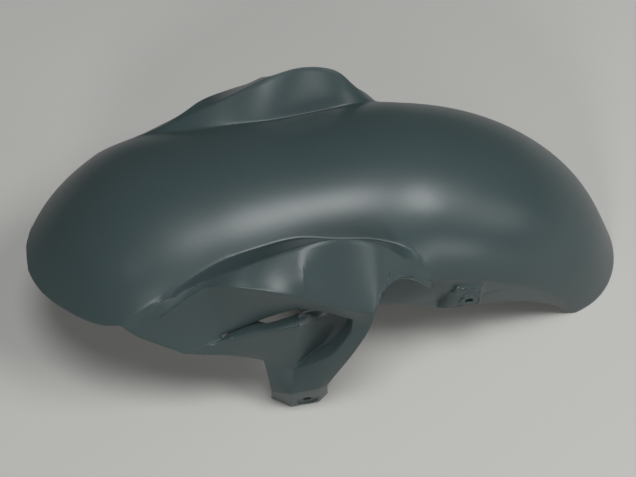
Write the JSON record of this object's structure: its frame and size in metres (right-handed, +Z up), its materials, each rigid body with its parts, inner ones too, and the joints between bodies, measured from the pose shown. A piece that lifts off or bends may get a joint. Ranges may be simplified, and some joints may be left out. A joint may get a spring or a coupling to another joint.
{
  "type": "motorcycle fairing",
  "caption": "Sport motorcycle front fender: a rounded shell over the tyre with angular side wings, air vents and fork legs.",
  "frame": {"origin": "middle of the bounding box on the floor plane, on the plane of symmetry", "axes": "+X towards the tail, +Y towards the fender's right side seen from the tail, +Z up, in the pose in which the fender rests on its two legs and its tail lip"},
  "size_m": [0.4938, 0.236, 0.1947],
  "materials": {
    "painted_shell": "satin grey-green paint on moulded plastic, bare ivory plastic inside"
  },
  "bodies": {
    "root": {"fender": "painted_shell"}
  },
  "joints": []
}
